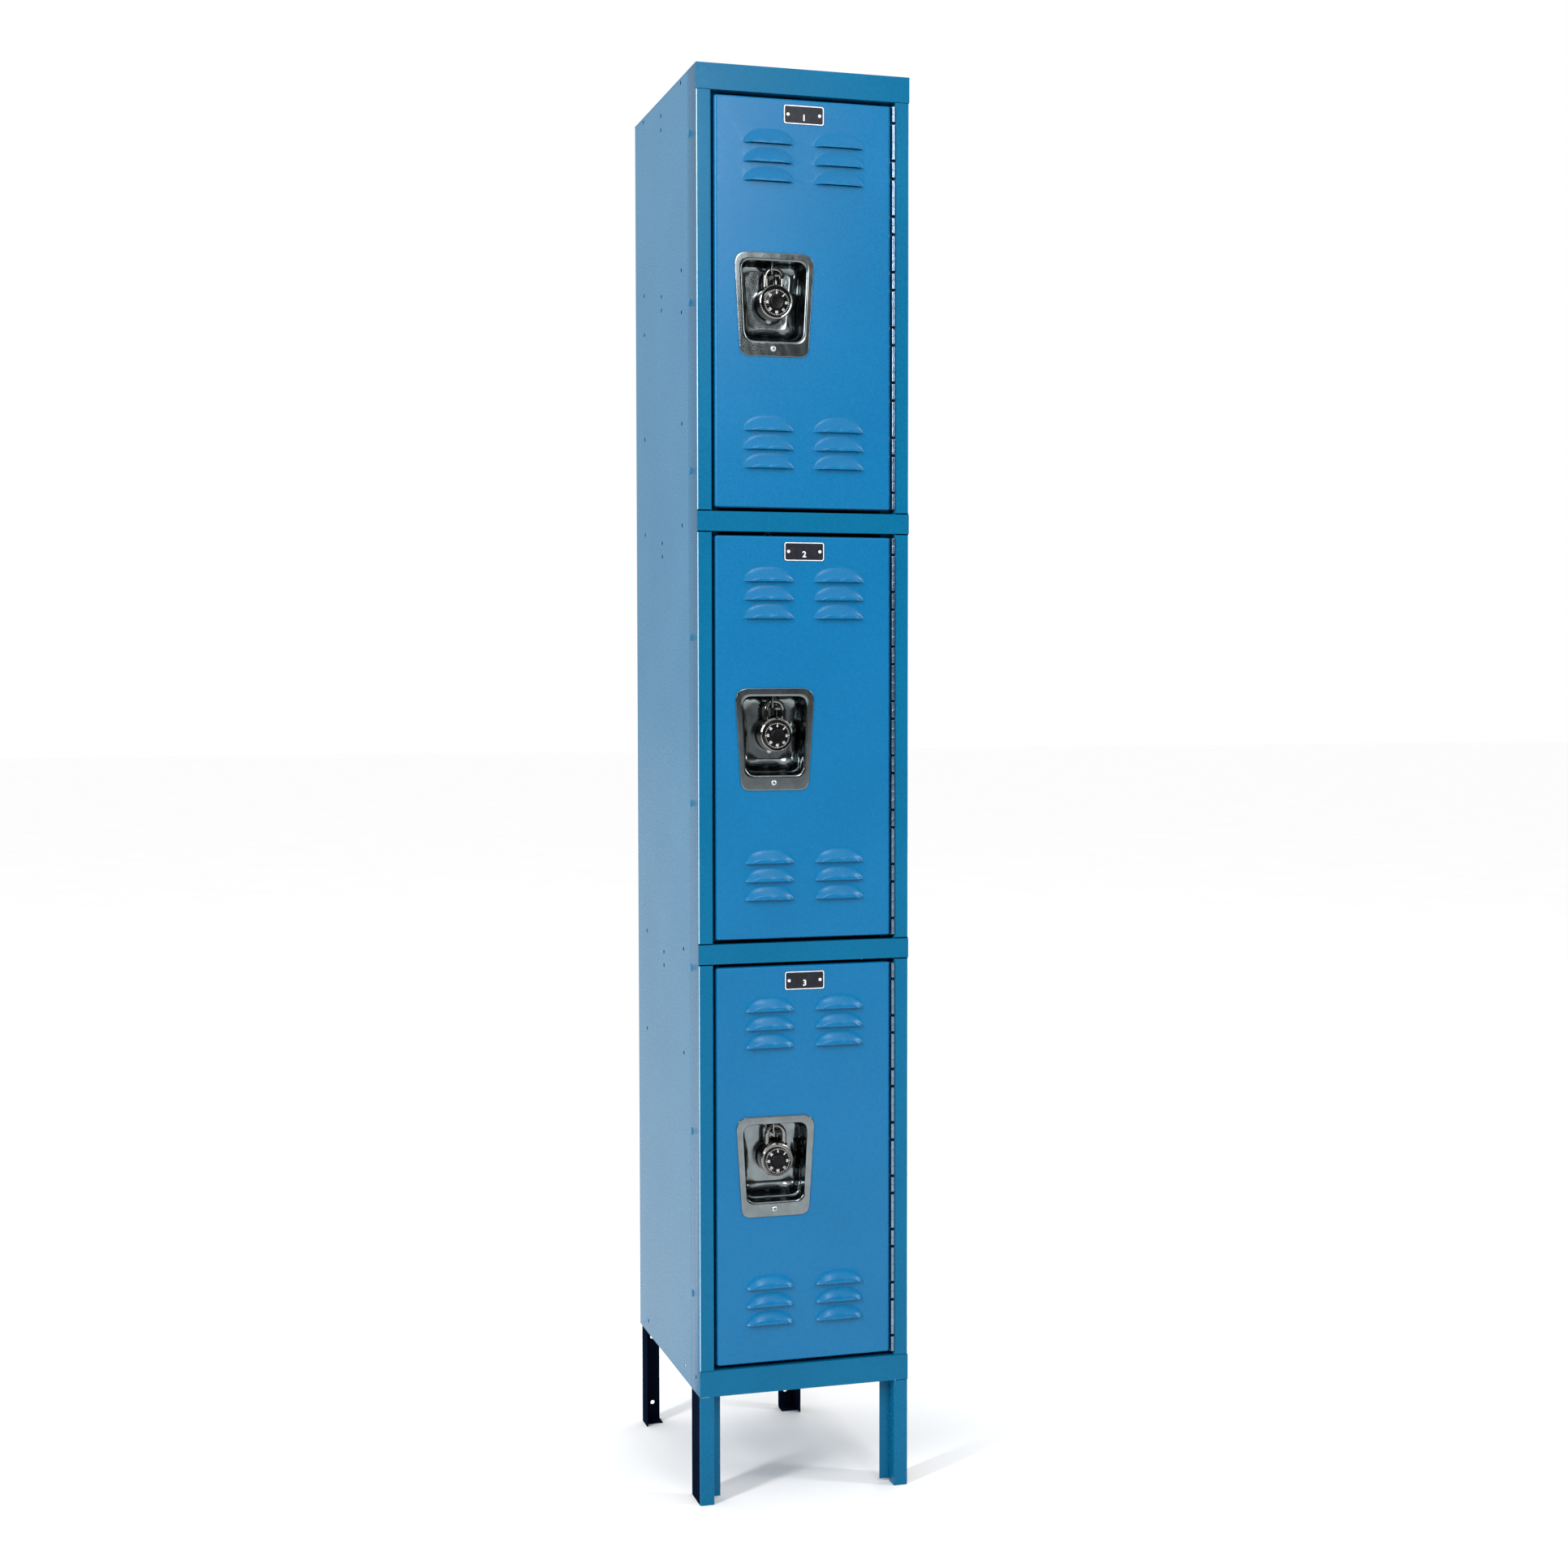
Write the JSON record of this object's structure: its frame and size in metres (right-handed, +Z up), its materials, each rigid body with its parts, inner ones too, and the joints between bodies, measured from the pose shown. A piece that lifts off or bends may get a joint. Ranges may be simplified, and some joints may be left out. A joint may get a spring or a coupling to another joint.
{
  "type": "steel locker",
  "caption": "Tall narrow steel locker on legs, with stacked louvered doors, recessed lift-latch handles and combination padlocks.",
  "frame": {"origin": "on the floor, under the middle of the locker's width and depth", "axes": "+X to the right as seen from the front, +Y to the back, +Z up; the doors face -Y"},
  "size_m": [0.3048, 0.386, 1.9812],
  "materials": {
    "door_paint": "semi-gloss powder coat, fine orange peel",
    "frame_paint": "semi-gloss powder coat, fine orange peel",
    "body_paint": "semi-gloss powder coat",
    "hinge_paint": "powder coat worn bright on the knuckles",
    "stainless": "drawn stainless steel, satin",
    "chrome": "bright chrome plate",
    "zinc": "zinc plate",
    "plate": "black anodised with a bright border",
    "dial_black": "gloss black with white marks",
    "rubber": "matte black"
  },
  "bodies": {
    "cabinet": {"left_upright": "frame_paint", "right_upright": "frame_paint", "header": "frame_paint", "bottom_rail": "frame_paint", "upper_mid_rail": "frame_paint", "lower_mid_rail": "frame_paint", "left_side_panel": "body_paint", "right_side_panel": "body_paint", "back_panel": "body_paint", "top_panel": "body_paint", "bottom_panel": "body_paint", "upper_shelf": "body_paint", "lower_shelf": "body_paint", "rear_left_leg": "frame_paint", "rear_right_leg": "frame_paint", "coat_hook_1": "zinc", "coat_hook_2": "zinc", "coat_hook_3": "zinc", "door_1_hinge_frame_leaf": "hinge_paint", "door_1_hinge_pin": "zinc", "door_1_frame_hook": "zinc", "door_1_bumper": "rubber", "door_2_hinge_frame_leaf": "hinge_paint", "door_2_hinge_pin": "zinc", "door_2_frame_hook": "zinc", "door_2_bumper": "rubber", "door_3_hinge_frame_leaf": "hinge_paint", "door_3_hinge_pin": "zinc", "door_3_frame_hook": "zinc", "door_3_bumper": "rubber"},
    "door_1": {"door_1_panel": "door_paint", "door_1_number_plate": "plate", "door_1_handle_cup": "stainless", "door_1_cup_screw": "zinc", "door_1_hinge_door_leaf": "hinge_paint"},
    "latch_1": {"door_1_finger_lift": "chrome", "door_1_latch_bar": "zinc"},
    "shackle_1": {"door_1_padlock_shackle": "chrome"},
    "lock_case_1": {"door_1_padlock_case": "chrome"},
    "dial_1": {"door_1_padlock_dial": "dial_black"},
    "door_2": {"door_2_panel": "door_paint", "door_2_number_plate": "plate", "door_2_handle_cup": "stainless", "door_2_cup_screw": "zinc", "door_2_hinge_door_leaf": "hinge_paint"},
    "latch_2": {"door_2_finger_lift": "chrome", "door_2_latch_bar": "zinc"},
    "shackle_2": {"door_2_padlock_shackle": "chrome"},
    "lock_case_2": {"door_2_padlock_case": "chrome"},
    "dial_2": {"door_2_padlock_dial": "dial_black"},
    "door_3": {"door_3_panel": "door_paint", "door_3_number_plate": "plate", "door_3_handle_cup": "stainless", "door_3_cup_screw": "zinc", "door_3_hinge_door_leaf": "hinge_paint"},
    "latch_3": {"door_3_finger_lift": "chrome", "door_3_latch_bar": "zinc"},
    "shackle_3": {"door_3_padlock_shackle": "chrome"},
    "lock_case_3": {"door_3_padlock_case": "chrome"},
    "dial_3": {"door_3_padlock_dial": "dial_black"}
  },
  "joints": [
    {"name": "door_1_hinge", "type": "hinge", "parent": "cabinet", "child": "door_1", "pos_m": [0.1291, -0.188, 1.66223], "axis": [0, 0, 1], "range_deg": [0, 170]},
    {"name": "latch_1_lift", "type": "slide", "parent": "door_1", "child": "latch_1", "axis": [0, 0, 1], "range_m": [-0.009, 0]},
    {"name": "padlock_1_swing", "type": "hinge", "parent": "door_1", "child": "shackle_1", "pos_m": [-0.037, -0.166, 1.71298], "axis": [-1, 0, 0], "range_deg": [0, 60]},
    {"name": "padlock_1_release", "type": "slide", "parent": "shackle_1", "child": "lock_case_1", "axis": [0, 0, -1], "range_m": [0, 0.008]},
    {"name": "dial_1_spin", "type": "hinge", "parent": "lock_case_1", "child": "dial_1", "pos_m": [-0.037, -0.18, 1.66563], "axis": [0, -1, 0], "continuous": true},
    {"name": "door_2_hinge", "type": "hinge", "parent": "cabinet", "child": "door_2", "pos_m": [0.1291, -0.188, 1.0673], "axis": [0, 0, 1], "range_deg": [0, 170]},
    {"name": "latch_2_lift", "type": "slide", "parent": "door_2", "child": "latch_2", "axis": [0, 0, 1], "range_m": [-0.009, 0]},
    {"name": "padlock_2_swing", "type": "hinge", "parent": "door_2", "child": "shackle_2", "pos_m": [-0.037, -0.166, 1.11805], "axis": [-1, 0, 0], "range_deg": [0, 60]},
    {"name": "padlock_2_release", "type": "slide", "parent": "shackle_2", "child": "lock_case_2", "axis": [0, 0, -1], "range_m": [0, 0.008]},
    {"name": "dial_2_spin", "type": "hinge", "parent": "lock_case_2", "child": "dial_2", "pos_m": [-0.037, -0.18, 1.0707], "axis": [0, -1, 0], "continuous": true},
    {"name": "door_3_hinge", "type": "hinge", "parent": "cabinet", "child": "door_3", "pos_m": [0.1291, -0.188, 0.47237], "axis": [0, 0, 1], "range_deg": [0, 170]},
    {"name": "latch_3_lift", "type": "slide", "parent": "door_3", "child": "latch_3", "axis": [0, 0, 1], "range_m": [-0.009, 0]},
    {"name": "padlock_3_swing", "type": "hinge", "parent": "door_3", "child": "shackle_3", "pos_m": [-0.037, -0.166, 0.52312], "axis": [-1, 0, 0], "range_deg": [0, 60]},
    {"name": "padlock_3_release", "type": "slide", "parent": "shackle_3", "child": "lock_case_3", "axis": [0, 0, -1], "range_m": [0, 0.008]},
    {"name": "dial_3_spin", "type": "hinge", "parent": "lock_case_3", "child": "dial_3", "pos_m": [-0.037, -0.18, 0.47577], "axis": [0, -1, 0], "continuous": true}
  ]
}
